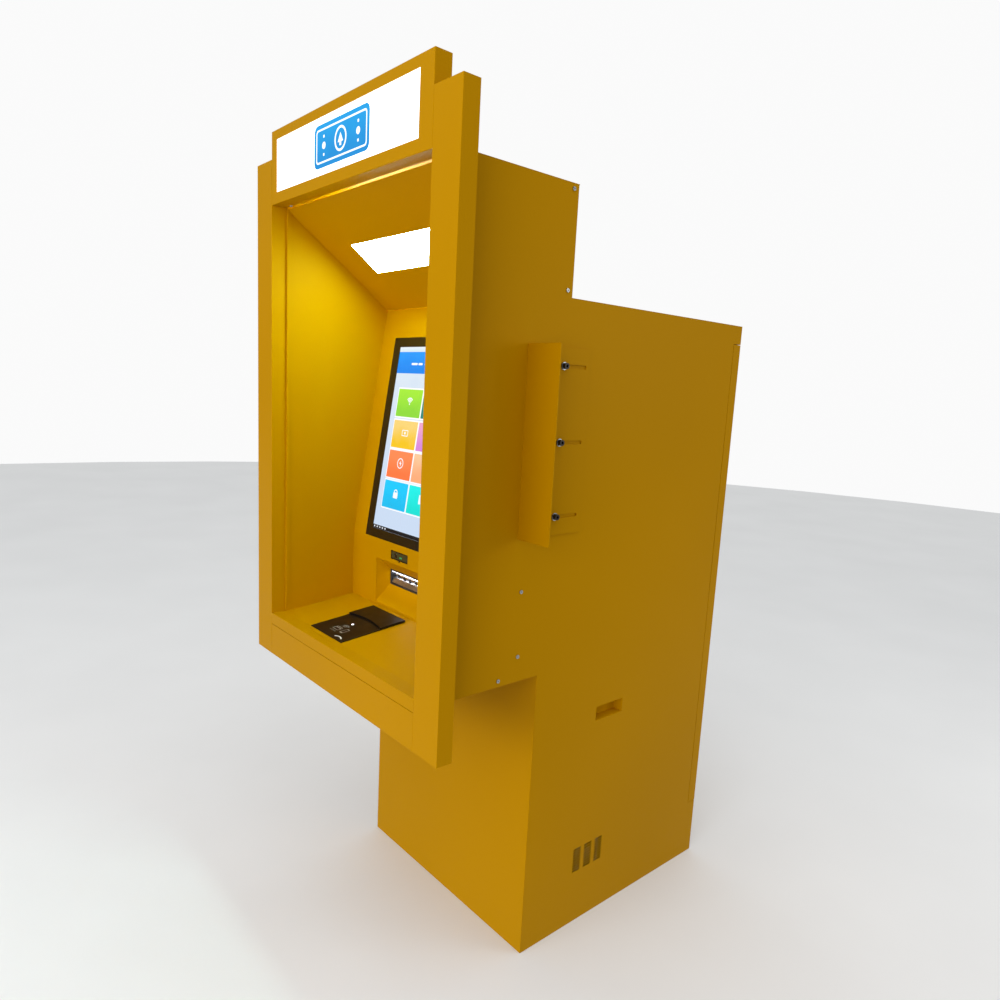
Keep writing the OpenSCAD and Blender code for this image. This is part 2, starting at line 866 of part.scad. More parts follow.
module fan_frame() {
    hub = 17;
    color(plastic) at_fan() union() {
        difference() {
            translate([-fan_w / 2, -fan_w / 2, 0]) cube([fan_w, fan_w, fan_t]);
            translate([0, 0, -1]) cylinder(r = fan_bore, h = fan_t + 2);
            for (x = [-1, 1], y = [-1, 1])
                translate([x * 41, y * 41, -1]) cylinder(r = 2.2, h = fan_t + 2);
        }
        cylinder(r = hub, h = 4);
        cylinder(r = fan_axle, h = 20);
        for (a = [45 : 90 : 315])
            rotate([0, 0, a]) translate([hub - 1, -2, 0]) cube([fan_bore - hub + 2, 4, 3]);
    }
}

module fan_rotor() {
    hub = 18;
    blades = 7;
    pitch = 38;
    color(black) at_fan() difference() {
        union() {
            translate([0, 0, 5]) cylinder(r = hub, h = 17);
            for (i = [0 : blades - 1])
                rotate([0, 0, i * 360 / blades])
                    translate([hub - 2, 0, 13.5]) rotate([pitch, 0, 0])
                        translate([0, -10, -0.75]) cube([fan_bore - hub, 20, 1.5]);
        }
        cylinder(r = fan_axle + run_fit, h = 24);
    }
}

tray_z = 1118;
module equipment_tray() {
    color(zinc) union() {
        span([-inner, -100, tray_z], [inner, 300, tray_z + sheet]);
        span([-inner, -100, tray_z - 25], [inner, -98, tray_z]);
        span([-inner, 298, tray_z - 25], [inner, 300, tray_z]);
        both_sides() span([inner - sheet, -90, tray_z + sheet], [inner, 290, tray_z + 22]);
    }
}

module industrial_pc() {
    fins = 12;
    z0 = tray_z + sheet;
    color(plastic) union() {
        span([-160, 20, z0], [100, 210, z0 + 52]);
        for (i = [0 : fins - 1])
            translate([-150 + i * 21, 26, z0 + 52]) cube([6, 178, 14]);
    }
}

module power_supply() {
    z0 = tray_z + sheet;
    color(zinc) union() {
        difference() {
            span([150, 40, z0], [300, 250, z0 + 60]);
            span([152, 42, z0 + 2], [298, 248, z0 + 58]);
        }
        span([165, 250, z0 + 10], [285, 262, z0 + 30]);
    }
}

// Rack that carries the note acceptor, with the bay for the cash cassette under it.
bay_w = 222;
bay_y0 = front_y + 8;
bay_y1 = bay_y0 + 275;
bay_z0 = 400;
module cassette_rack() {
    wall = 3;
    color(zinc) union() {
        for (s = [-1, 1])
            translate([service_x + s * (bay_w / 2 + wall / 2), 0, 0])
                span([-wall / 2, bay_y0, base_t], [wall / 2, bay_y1, rack_top - 4]);
        span([service_x - 126, pocket_y1 + 5, rack_top - 4],
            [service_x + 126, bay_y1, rack_top]);
        span([service_x - bay_w / 2, bay_y0, bay_z0 - wall],
            [service_x + bay_w / 2, bay_y1, bay_z0]);
    }
}

cassette_gap = 0.5;
cassette_h = 440;
module cash_cassette() {
    w = bay_w / 2 - cassette_gap;
    z0 = bay_z0 + cassette_gap;
    y1 = bay_y1 - 8;
    wall = 4;
    color(plastic) translate([service_x, 0, 0]) union() {
        difference() {
            span([-w, bay_y0 + 6, z0], [w, y1, z0 + cassette_h]);
            span([-w + wall, bay_y0 + 6 + wall, z0 + wall],
                [w - wall, y1 - wall, z0 + cassette_h - wall]);
        }
        for (s = [-1, 1])
            translate([s * 55, 0, 0])
                span([-6, y1 - 1, z0 + 385], [6, y1 + 34, z0 + 403]);
        span([-61, y1 + 22, z0 + 385], [61, y1 + 34, z0 + 403]);
        rod_y([0, y1 - 1, z0 + 330], 11, 8);
    }
}

// ---------------------------------------------------------------- wall brackets

module wall_bracket() {
    x0 = half + bracket_gap;
    y0 = bolt_y - bracket_leg * 0.56;
    color(paint) difference() {
        union() {
            span([x0, y0, bracket_z0], [x0 + bracket_t, y0 + bracket_leg,
                bracket_z0 + bracket_h]);
            span([x0, y0, bracket_z0], [half + flange_w, y0 + bracket_t,
                bracket_z0 + bracket_h]);
        }
        for (i = [-1 : 1])
            translate([x0 - 1, bolt_y, bolt_z + i * bolt_pitch])
                union() {
                    r = bolt_r + 0.5;
                    translate([0, -slot_len / 2 + r, -r])
                        cube([bracket_t + 2, slot_len - 2 * r, 2 * r]);
                    for (s = [-1, 1])
                        rod_x([0, s * (slot_len / 2 - r), 0], r, bracket_t + 2);
                }
    }
}

module wall_bracket_right() {
    wall_bracket();
}

module wall_bracket_left() {
    mirror([1, 0, 0]) wall_bracket();
}

// Hexagon bolts with washers outside and nuts inside.
// A hexagonal rod along X, for nuts and sockets.
module hex_x(x, r, h) {
    translate([x, 0, 0]) rotate([0, 90, 0]) cylinder(r = r, h = h, $fn = 6);
}

module wall_bolts() {
    x1 = half + bracket_gap + bracket_t + 0.3;
    washer = [9.5, 1.6];
    head = [7.2, 9];
    socket = [4.1, 3.8];
    nut = [7.5, 6.8];
    color(zinc) both_sides()
        for (i = [-1 : 1])
            translate([0, bolt_y, bolt_z + i * bolt_pitch])
                difference() {
                    union() {
                        rod_x([inner - 10, 0, 0], bolt_r, x1 - inner + 12);
                        rod_x([x1, 0, 0], washer[0], washer[1]);
                        rod_x([x1 + washer[1] - 0.1, 0, 0], head[0], head[1] + 0.1);
                        hex_x(inner - nut[1], nut[0], nut[1]);
                    }
                    hex_x(x1 + washer[1] + head[1] - socket[1], socket[0], socket[1] + 1);
                }
}

// ---------------------------------------------------------------- rear door

module door_skin() {
    boss_r = 9;
    boss_h = 13;
    color(paint) difference() {
        union() {
            span([-half, rear_y - sheet, door_z0], [half, rear_y, door_z1]);
            both_sides() span([inner, door_y0, door_z0], [half, rear_y, door_z1]);
            for (z = [door_z0, door_z1 - sheet])
                span([-inner, door_y0, z], [inner, rear_y - sheet, z + sheet]);
            for (z = [door_z0 + sheet, door_z1 - sheet - boss_h])
                rod_z([pivot_x, pivot_y, z], boss_r, boss_h);
        }
        for (z = [door_z0 - 1, door_z1 - sheet - boss_h - 1])
            rod_z([pivot_x, pivot_y, z], pin_r + run_fit, boss_h + sheet + 2);
        rod_slot(upper_rod_x, door_z1 - sheet / 2);
        rod_slot(lower_rod_x, door_z0 + sheet / 2);
        rod_y([lock_x, rear_y - 5, handle_z], spindle_r + 1, 10);
    }
}

// Three hat sections across the inside of the door.
module door_stiffeners() {
    depth = 14;
    y1 = rear_y - sheet;
    color(zinc)
        for (z = [450, 1160, 1450])
            translate([-60, 0, z])
                difference() {
                    union() {
                        span([-200, y1 - depth, -20], [180, y1, 20]);
                        span([-200, y1 - sheet, -38], [180, y1, 38]);
                    }
                    span([-201, y1 - depth + sheet, -20 + sheet], [181, y1 + 1, 20 - sheet]);
                }
}

module door_seals() {
    w = 12;
    color(black) both_sides()
        span([jamb_x - jamb_lip + 6, seal_y + 0.4, door_z0 + 12],
            [jamb_x - jamb_lip + 6 + w, rear_y - sheet, door_z1 - 12]);
}

module handle_plate() {
    w = 44;
    h = 160;
    color(zinc) difference() {
        union() {
            span([lock_x - w / 2, rear_y, handle_z - h * 0.7],
                [lock_x + w / 2, rear_y + 6, handle_z + h * 0.3]);
            rod_y([lock_x, rear_y, handle_z], 17, 12);
            rod_y([lock_x, rear_y, handle_z - h * 0.45], 11, 9);
        }
        rod_y([lock_x, rear_y - 1, handle_z], spindle_r + run_fit, 20);
    }
}

case_half = 31;
case_h = 100;
case_y0 = rear_y - 33;
module lock_case() {
    y1 = rear_y - sheet;
    color(zinc) difference() {
        union() {
            span([lock_x - case_half, case_y0, handle_z - case_h / 2],
                [lock_x + case_half, y1, handle_z + case_h / 2]);
        }
        span([lock_x - case_half + sheet, case_y0 + sheet, handle_z - case_h],
            [lock_x + case_half - sheet, y1 + 1, handle_z + case_h]);
        rod_y([lock_x, case_y0 - 1, handle_z], spindle_r + run_fit, sheet + 2);
    }
}

module door_handle() {
    reach = 125;
    y0 = rear_y + 12.3;
    color(black) union() {
        rod_y([lock_x, case_y0, handle_z], spindle_r, y0 - case_y0 + 1);
        rod_y([lock_x, y0, handle_z], 17, 17);
        hull() {
            rod_y([lock_x, y0 + 5, handle_z], 13, 12);
            rod_y([lock_x - reach, y0 + 8, handle_z], 9, 9);
        }
    }
}

// Angle of a tooth flank from the tooth's centre line at radius q.
function rad(deg) = deg * PI / 180;
function inv(a) = tan(a) - rad(a);
function flank(q) = (PI * tooth_m / 2 - backlash) / (2 * lock_r)
    + inv(tooth_pa) - inv(acos(min(1, base_r / q)));
base_r = lock_r * cos(tooth_pa);
root_r = lock_r - rack_root;
tip_r = lock_r + rack_tip;
steps = 4;
gear_radii = concat([root_r], [for (i = [0 : steps]) base_r + (tip_r - base_r) * i / steps]);
function polar(q, a) = [q * cos(a), q * sin(a)];
function tooth(a) = concat(
    [for (q = gear_radii) polar(q, a - flank(max(q, base_r)) * 180 / PI)],
    [for (i = [len(gear_radii) - 1 : -1 : 0])
        polar(gear_radii[i], a + flank(max(gear_radii[i], base_r)) * 180 / PI)]);

module lock_pinion() {
    points = [for (k = [0 : tooth_n - 1]) each tooth(k * 360 / tooth_n)];
    color(steel) difference() {
        translate([lock_x, 0, handle_z])
            profile_y(rod_y0, rod_y0 + rod_w) polygon(points);
        rod_y([lock_x, rod_y0 - 1, handle_z], spindle_r, rod_w + 2);
    }
}

// Rack teeth along +Y of the profile, centred on a tooth gap, pointing towards -X.
function rack(count) = [for (k = [-count : count - 1])
    let (c = (k + 0.5) * PI * tooth_m, h = (PI * tooth_m / 2 - backlash) / 2,
        dt = rack_tip * tan(tooth_pa), dr = rack_root * tan(tooth_pa))
    each [[rack_root, c - h - dr], [-rack_tip, c - h + dt], [-rack_tip, c + h - dt],
        [rack_root, c + h + dr]]];

// A lock rod that starts beside the pinion; up is +1 or -1.
rack_teeth = 6;
module lock_rod(up, length) {
    tail = (rack_teeth + 0.5) * PI * tooth_m;
    points = concat([[rack_root + rod_w, -tail], [rack_root, -tail]], rack(rack_teeth),
        [[rack_root, length], [rack_root + rod_w, length]]);
    translate([lock_x, 0, handle_z]) rotate([0, up > 0 ? 0 : 180, 0])
        translate([lock_r, 0, 0])
            profile_y(rod_y0, rod_y0 + rod_w) polygon(points);
}

module lock_rod_upper() {
    color(zinc) lock_rod(1, door_z1 - handle_z - 0.5);
}

module lock_rod_lower() {
    color(zinc) lock_rod(-1, handle_z - door_z0 - 0.5);
}

base_plate();
side_sheet_left();
side_sheet_right();
cabinet_front();
cabinet_top();
rear_top_band();
rear_bottom_band();
door_jambs();
hinge_pins();
box_top();
box_bottom();
box_rear();
post_left();
post_right();
header_box();
header_diffuser();
header_leds();
apron();
shelf();
fascia();
ceiling();
alcove_light();
monitor_bezel();
touch_display();
monitor_housing();
code_scanner();
note_pocket();
note_throat();
note_acceptor();
feed_rollers();
pinch_rollers();
reader_body();
reader_hood();
card_bezel();
card_reader();
receipt_bezel();
receipt_printer();
paper_roll();
hand_cups();
fan_frame();
fan_rotor();
equipment_tray();
industrial_pc();
power_supply();
cassette_rack();
cash_cassette();
wall_bracket_left();
wall_bracket_right();
wall_bolts();
side_screws();
cable_grommet();
door_skin();
door_stiffeners();
door_seals();
handle_plate();
lock_case();
door_handle();
lock_pinion();
lock_rod_upper();
lock_rod_lower();
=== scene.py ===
"""Looks of the through-the-wall cash machine: materials, drawn details, floor, light and camera."""

import json
import math

import bmesh
import bpy
from mathutils import Matrix, Vector


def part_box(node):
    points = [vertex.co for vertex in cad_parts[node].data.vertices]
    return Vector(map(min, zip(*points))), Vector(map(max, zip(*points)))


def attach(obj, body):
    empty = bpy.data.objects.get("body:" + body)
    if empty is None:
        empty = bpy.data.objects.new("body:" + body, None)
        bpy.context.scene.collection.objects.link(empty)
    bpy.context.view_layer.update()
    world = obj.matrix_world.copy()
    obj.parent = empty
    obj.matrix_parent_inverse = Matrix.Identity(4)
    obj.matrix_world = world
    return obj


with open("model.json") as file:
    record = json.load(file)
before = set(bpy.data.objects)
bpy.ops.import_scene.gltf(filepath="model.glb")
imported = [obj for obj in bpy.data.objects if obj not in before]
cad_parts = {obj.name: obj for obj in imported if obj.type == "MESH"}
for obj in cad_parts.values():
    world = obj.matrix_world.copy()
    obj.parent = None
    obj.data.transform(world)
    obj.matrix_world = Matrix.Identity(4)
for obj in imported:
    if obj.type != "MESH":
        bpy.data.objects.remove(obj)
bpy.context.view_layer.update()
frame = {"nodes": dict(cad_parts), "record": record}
nodes = frame["nodes"]

MM = 0.001
# The fascia stands upright to BEND_Z and leans back by LEAN above it.
LEAN = math.radians(8.6)
BEND_Z = 1032 * MM
# The shelf falls towards the user, and its front edge is at SHELF_FRONT_Z.
SHELF_TILT = math.radians(6.07)
SHELF_FRONT_Z = 814 * MM


def middle(node, axis):
    low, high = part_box(node)
    return (low[axis] + high[axis]) / 2


SERVICE_X = middle("monitor_bezel", 0)
FASCIA_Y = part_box("fascia")[0].y
MOUTH_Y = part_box("post_left")[1].y
# Distances from the middle plane to the side sheets' outer skin and to the bolts' washers.
SHEET_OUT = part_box("door_skin")[1].x
WASHER_OUT = SHEET_OUT + 5.3 * MM
# The part of a side sheet round the louvre slots where painted shade darkens the inner skin and the slot
# walls.
VENT_Y = (-0.212, -0.066)
VENT_Z = (0.14, 0.246)

# Local frame of the leaning screen: +X right, +Y into the machine, +Z up the slope.
ON_SCREEN = Matrix.Translation((SERVICE_X, FASCIA_Y, BEND_Z)) @ Matrix.Rotation(-LEAN, 4, "X")

# ---------------------------------------------------------------- materials


class Finish:
    """A material and short calls that build its node graph."""

    def __init__(self, name):
        self.material = bpy.data.materials.new(name)
        self.material.use_nodes = True
        self.tree = self.material.node_tree
        self.shader = self.tree.nodes["Principled BSDF"]

    def node(self, kind, settings=None, **inputs):
        made = self.tree.nodes.new("ShaderNode" + kind)
        for key, value in (settings or {}).items():
            setattr(made, key, value)
        for key, value in inputs.items():
            self.feed(made.inputs[key.replace("_", " ")], value)
        return made

    def feed(self, socket, value):
        if isinstance(value, bpy.types.NodeSocket):
            self.tree.links.new(value, socket)
        else:
            socket.default_value = value

    def set(self, **inputs):
        for key, value in inputs.items():
            self.feed(self.shader.inputs[key.replace("_", " ")], value)

    def place(self, scale=(1, 1, 1)):
        coords = self.node("TexCoord").outputs["Object"]
        return self.node("Mapping", None, Vector=coords, Scale=scale).outputs["Vector"]

    def noise(self, size, detail=3.0, roughness=0.5, stretch=(1, 1, 1)):
        """Fractal noise whose blobs are about size metres across."""
        place = self.place(stretch)
        return self.node(
            "TexNoise", None, Vector=place, Scale=1 / size, Detail=detail, Roughness=roughness
        ).outputs["Fac"]

    def cells(self, size):
        """Distance to the nearest of random points about size metres apart."""
        return self.node("TexVoronoi", None, Vector=self.place(), Scale=1 / size).outputs["Distance"]

    def spread(self, value, low, high, start=0.3, end=0.7):
        """value between start and end, mapped to low and high."""
        return self.node(
            "MapRange", None, Value=value, From_Min=start, From_Max=end, To_Min=low, To_Max=high
        ).outputs["Result"]

    def shades(self, value, *stops):
        """A colour ramp through (position, colour) stops."""
        ramp = self.node("ValToRGB", None, Fac=value)
        elements = ramp.color_ramp.elements
        while len(elements) < len(stops):
            elements.new(0.5)
        for element, (position, colour) in zip(elements, stops):
            element.position = position
            element.color = (*colour, 1)
        return ramp.outputs["Color"]

    def mix(self, factor, a, b):
        mixer = self.node("Mix", {"data_type": "RGBA"})
        self.feed(mixer.inputs[0], factor)
        for socket, colour in ((mixer.inputs[6], a), (mixer.inputs[7], b)):
            self.feed(socket, colour if isinstance(colour, bpy.types.NodeSocket) else (*colour, 1))
        return mixer.outputs[2]

    def math(self, how, a, b=0.0):
        made = self.node("Math", {"operation": how})
        self.feed(made.inputs[0], a)
        self.feed(made.inputs[1], b)
        return made.outputs[0]

    def within(self, value, low, high):
        """1 where value lies between low and high, else 0."""
        above = self.math("GREATER_THAN", value, low)
        below = self.math("LESS_THAN", value, high)
        return self.math("MULTIPLY", above, below)

    def axes(self):
        """The x, y and z of the point in the part's own frame."""
        return self.node("SeparateXYZ", None, Vector=self.node("TexCoord").outputs["Object"]).outputs

    def vent_shade_mask(self):
        """Mask of painted shade: 1 on a side sheet's inner skin round the vent and on the walls of its
        slots, where shade falls.
        """
        x, y, z = self.axes()
        skin = self.within(self.math("ABSOLUTE", x), 0.0, SHEET_OUT - 0.4 * MM)
        here = self.math("MULTIPLY", self.within(y, *VENT_Y), self.within(z, *VENT_Z))
        return self.math("MULTIPLY", skin, here)

    def relief(self, *layers):
        """Stacked bumps: each layer is (height, depth in metres)."""
        normal = None
        for height, depth in layers:
            bump = self.node("Bump", None, Height=height, Distance=depth, Strength=1.0)
            if normal:
                self.feed(bump.inputs["Normal"], normal)
            normal = bump.outputs["Normal"]
        self.set(Normal=normal)


def tone(hex_colour):
    """Linear colour from an sRGB hex value."""
    parts = [int(hex_colour[i : i + 2], 16) / 255 for i in (0, 2, 4)]
    return tuple(c / 12.92 if c <= 0.04045 else ((c + 0.055) / 1.055) ** 2.4 for c in parts)


def powder_coat(name, shade_in_vents=False):
    """Yellow powder coat; on a vented sheet, painted shade darkens the inside of its louvre slots."""
    f = Finish(name)
    cloud = f.noise(0.9, 2.0)
    speck = f.noise(0.0018, 2.0)
    base = f.shades(cloud, (0.3, tone("BD8700")), (0.7, tone("C58D00")))
    base = f.mix(f.spread(speck, 0.0, 0.14), base, tone("AE7600"))
    if shade_in_vents:
        # painted shade: the vent's inner skin and slot walls are darkened to near black where shade falls
        base = f.mix(f.vent_shade_mask(), base, tone("2A1400"))
    f.set(Base_Color=base, Roughness=f.spread(f.noise(0.004, 3.0), 0.36, 0.48))
    f.set(Specular_IOR_Level=0.05, Specular_Tint=(1.0, 0.66, 0.05, 1))
    f.relief((f.noise(0.0022, 2.0), 0.00006), (f.noise(0.06, 1.0), 0.0002))
    return f.material


def opal_panel(name, strength, dim="F4F8FF", bright="FFFFFF"):
    """A lit translucent sheet, a little uneven."""
    f = Finish(name)
    glow = f.shades(f.noise(0.25, 1.0), (0.2, tone(dim)), (0.8, tone(bright)))
    f.set(Base_Color=tone("F2F4F6") + (1,), Roughness=f.spread(f.noise(0.003), 0.3, 0.42))
    f.set(Emission_Color=glow, Emission_Strength=strength)
    return f.material


def moulding(name, colour, roughness=0.5, grain=0.0009):
    """Moulded plastic with a spark-eroded grain, grain metres across."""
    f = Finish(name)
    base = tone(colour)
    light = tuple(min(1, c * 1.35 + 0.004) for c in base)
    f.set(Base_Color=f.shades(f.noise(0.03, 4.0), (0.3, base), (0.75, light)))
    f.set(Roughness=f.spread(f.noise(0.006, 3.0), roughness - 0.07, roughness + 0.09))
    f.relief((f.cells(grain), 0.00005))
    return f.material


def gloss_black(name, colour, roughness, gloss=0.5):
    """Dark glass or gloss plastic with wiping marks."""
    f = Finish(name)
    base = tone(colour)
    light = tuple(c * 1.4 + 0.001 for c in base)
    f.set(Base_Color=f.shades(f.noise(0.05, 3.0), (0.3, base), (0.8, light)))
    smear = f.noise(0.03, 4.0, 0.6, (1, 1, 0.35))
    f.set(Roughness=f.spread(smear, roughness, roughness + 0.1), Specular_IOR_Level=gloss)
    f.relief((f.noise(0.0012, 2.0), 0.000006))
    return f.material


def metal(name, colour, roughness, grain=(1, 1, 1), spangle=0.0):
    """Bare metal, brushed along the axis that grain scales least; spangle is the size of its crystals."""
    f = Finish(name)
    base = tone(colour)
    dark = tuple(c * 0.78 for c in base)
    shade = f.shades(f.noise(0.02, 4.0), (0.3, dark), (0.7, base))
    if spangle:
        shade = f.mix(f.spread(f.cells(spangle), 0.0, 0.3, 0.1, 0.6), shade, tuple(c * 0.6 for c in base))
    f.set(Base_Color=shade, Metallic=1.0)
    brush = f.noise(0.0015, 2.0, 0.6, grain)
    f.set(Roughness=f.spread(brush, roughness - 0.06, roughness + 0.1))
    f.relief((brush, 0.00002))
    return f.material


def socket_bolt():
    """Bolt heads painted near black as painted shade, over bright zinc washers, on both sides of the
    machine.
    """
    f = Finish("socket_bolt")
    head = f.math("GREATER_THAN", f.math("ABSOLUTE", f.axes()[0]), WASHER_OUT)
    worn = f.noise(0.004, 3.0)
    zinc = f.shades(worn, (0.3, tone("8E9294")), (0.7, tone("B4B8BA")))
    # painted shade: beyond the washers the heads are near black for the shade on their sides
    painted_head_shade = f.shades(worn, (0.3, tone("17130F")), (0.7, tone("2A2420")))
    f.set(Base_Color=f.mix(head, zinc, painted_head_shade), Metallic=f.spread(head, 1.0, 0.3, 0.0, 1.0))
    f.set(Roughness=f.spread(f.noise(0.002, 2.0), 0.34, 0.5))
    f.relief((f.noise(0.0008, 2.0), 0.00002))
    return f.material


def soft_rubber():
    """Matt black rubber for the door seals and the grommet."""
    f = Finish("rubber_matt")
    f.set(Base_Color=f.shades(f.noise(0.01, 4.0), (0.3, tone("141414")), (0.8, tone("242323"))))
    f.set(Roughness=f.spread(f.noise(0.005), 0.72, 0.9))
    f.relief((f.noise(0.0008, 3.0), 0.00008))
    return f.material


def thermal_paper():
    """A roll of white paper with the edges of its layers as fine rings."""
    f = Finish("paper_roll_white")
    wound = f.node("TexWave", {"wave_type": "RINGS", "rings_direction": "X"}, Scale=900.0, Distortion=0.4)
    f.set(Base_Color=f.mix(f.spread(f.noise(0.004), 0.0, 0.3), tone("F2F1EA"), tone("DDDBD0")))
    f.set(Roughness=0.8)
    f.relief((wound.outputs["Fac"], 0.0001))
    return f.material


def lit_paint(name, low, high, strength=1.0, roughness=0.12):
    """A colour shown by the display: a slanting gradient under bonded glass."""
    f = Finish(name)
    height = f.node("SeparateXYZ", None, Vector=f.node("TexCoord").outputs["Generated"]).outputs["Z"]
    slant = f.math("ADD", height, f.spread(f.noise(0.05, 1.0), -0.12, 0.12))
    colour = f.shades(slant, (0.15, tone(low)), (0.85, tone(high)))
    f.set(Base_Color=(0.01, 0.01, 0.012, 1), Roughness=roughness, Specular_IOR_Level=0.15)
    f.set(Emission_Color=colour, Emission_Strength=strength)
    return f.material


PAINT = powder_coat("powder_coat_yellow")
PAINT_VENT_SHADE = powder_coat("powder_coat_vent_shade", True)
SOCKET_BOLT = socket_bolt()
SIGN_LIGHT = opal_panel("opal_sign", 1.25)
ALCOVE_LIGHT = opal_panel("opal_alcove_light", 29.0, "C8F8F4", "D0FCF8")
DARK_MOULDING = moulding("moulding_dark", "1E1E20", 0.5)
GREY_MOULDING = moulding("moulding_grey", "6A6C6F", 0.55)
LED_BAR = metal("led_bar_aluminium", "D5D8DA", 0.4, (1, 40, 40))
BORDER = gloss_black("screen_border_glass", "17130C", 0.13)
READER = gloss_black("reader_gloss", "110C08", 0.3, 0.2)
SCANNER = gloss_black("scanner_window", "140F0A", 0.2, 0.4)
ZINC = metal("zinc_plate", "B4B8BA", 0.36, (1, 1, 1), 0.006)
TURNED = metal("turned_steel", "B9BBBD", 0.25, (1, 1, 12))
ROLLER = metal("ground_roller", "E9E9EB", 0.3, (14, 1, 1))
ANODISED = metal("anodised_black", "26272A", 0.42, (1, 20, 20))
MILL = metal("mill_aluminium", "C3C6C9", 0.34, (18, 1, 1))
RUBBER = soft_rubber()
PAPER = thermal_paper()
PICTURE = lit_paint("display_background", "CBDDF4", "DCE9F6", 1.0)

SLOT_FINISH = {
    "cabinet_paint": PAINT,
    "light_panel": SIGN_LIGHT,
    "led_bar": LED_BAR,
    "screen_picture": PICTURE,
    "screen_border": BORDER,
    "scanner_black": SCANNER,
    "reader_black": READER,
    "dark_plastic": DARK_MOULDING,
    "module_grey": GREY_MOULDING,
    "heat_sink": ANODISED,
    "aluminium_case": MILL,
    "zinc_steel": ZINC,
    "pin_steel": TURNED,
    "roller_steel": ROLLER,
    "rubber_black": RUBBER,
    "paper_white": PAPER,
}

# ---------------------------------------------------------------- finish on the CAD nodes

# Edge rounding in millimetres; thin or curved nodes that aren't named keep their edges.
SHEET_EDGE = 0.6
SHEET_NODES = (
    "side_sheet_left side_sheet_right cabinet_front cabinet_top rear_top_band rear_bottom_band "
    "door_jambs box_top box_bottom box_rear post_left post_right header_box apron shelf fascia "
    "ceiling base_plate equipment_tray cassette_rack wall_bracket_left wall_bracket_right "
    "door_skin door_stiffeners handle_plate note_pocket hand_cups"
).split()
BLOCK_EDGE = 0.8
BLOCK_NODES = (
    "monitor_housing note_acceptor card_reader receipt_printer power_supply cash_cassette "
    "industrial_pc card_bezel receipt_bezel reader_body reader_hood code_scanner note_throat "
    "fan_frame lock_case door_handle"
).split()
# Corners closer than WELD_DISTANCE are one, faces within FLAT_ANGLE are one, and EDGE_ANGLE makes an edge.
WELD_DISTANCE = 0.01 * MM
FLAT_ANGLE = math.radians(0.4)
EDGE_ANGLE = math.radians(35)


def round_edges(node, width):
    """Join the flat faces of a CAD node and round its edges by width millimetres."""
    piece = nodes[node]
    weld = piece.modifiers.new("weld", "WELD")
    weld.merge_threshold = WELD_DISTANCE
    flat = piece.modifiers.new("flat_faces", "DECIMATE")
    flat.decimate_type = "DISSOLVE"
    flat.angle_limit = FLAT_ANGLE
    bevel = piece.modifiers.new("edges", "BEVEL")
    bevel.width = width * MM
    bevel.segments = 2
    bevel.limit_method = "ANGLE"
    bevel.angle_limit = EDGE_ANGLE
    bevel.harden_normals = False
    bevel.use_clamp_overlap = True
    piece.modifiers.new("normals", "WEIGHTED_NORMAL").keep_sharp = True


slot_of = {part["node"]: part["material_slot"] for part in frame["record"]["subparts"]}
for name, piece in nodes.items():
    piece.data.materials.clear()
    piece.data.materials.append(SLOT_FINISH[slot_of[name]])
nodes["alcove_light"].data.materials[0] = ALCOVE_LIGHT
nodes["wall_bolts"].data.materials[0] = SOCKET_BOLT
# the side sheets get painted shade inside their louvre slots
for name in ("side_sheet_left", "side_sheet_right"):
    nodes[name].data.materials[0] = PAINT_VENT_SHADE
for name in SHEET_NODES:
    round_edges(name, SHEET_EDGE)
for name in BLOCK_NODES:
    round_edges(name, BLOCK_EDGE)

# ---------------------------------------------------------------- drawn details

# thickness of a drawn mark in millimetres
INK = 0.1


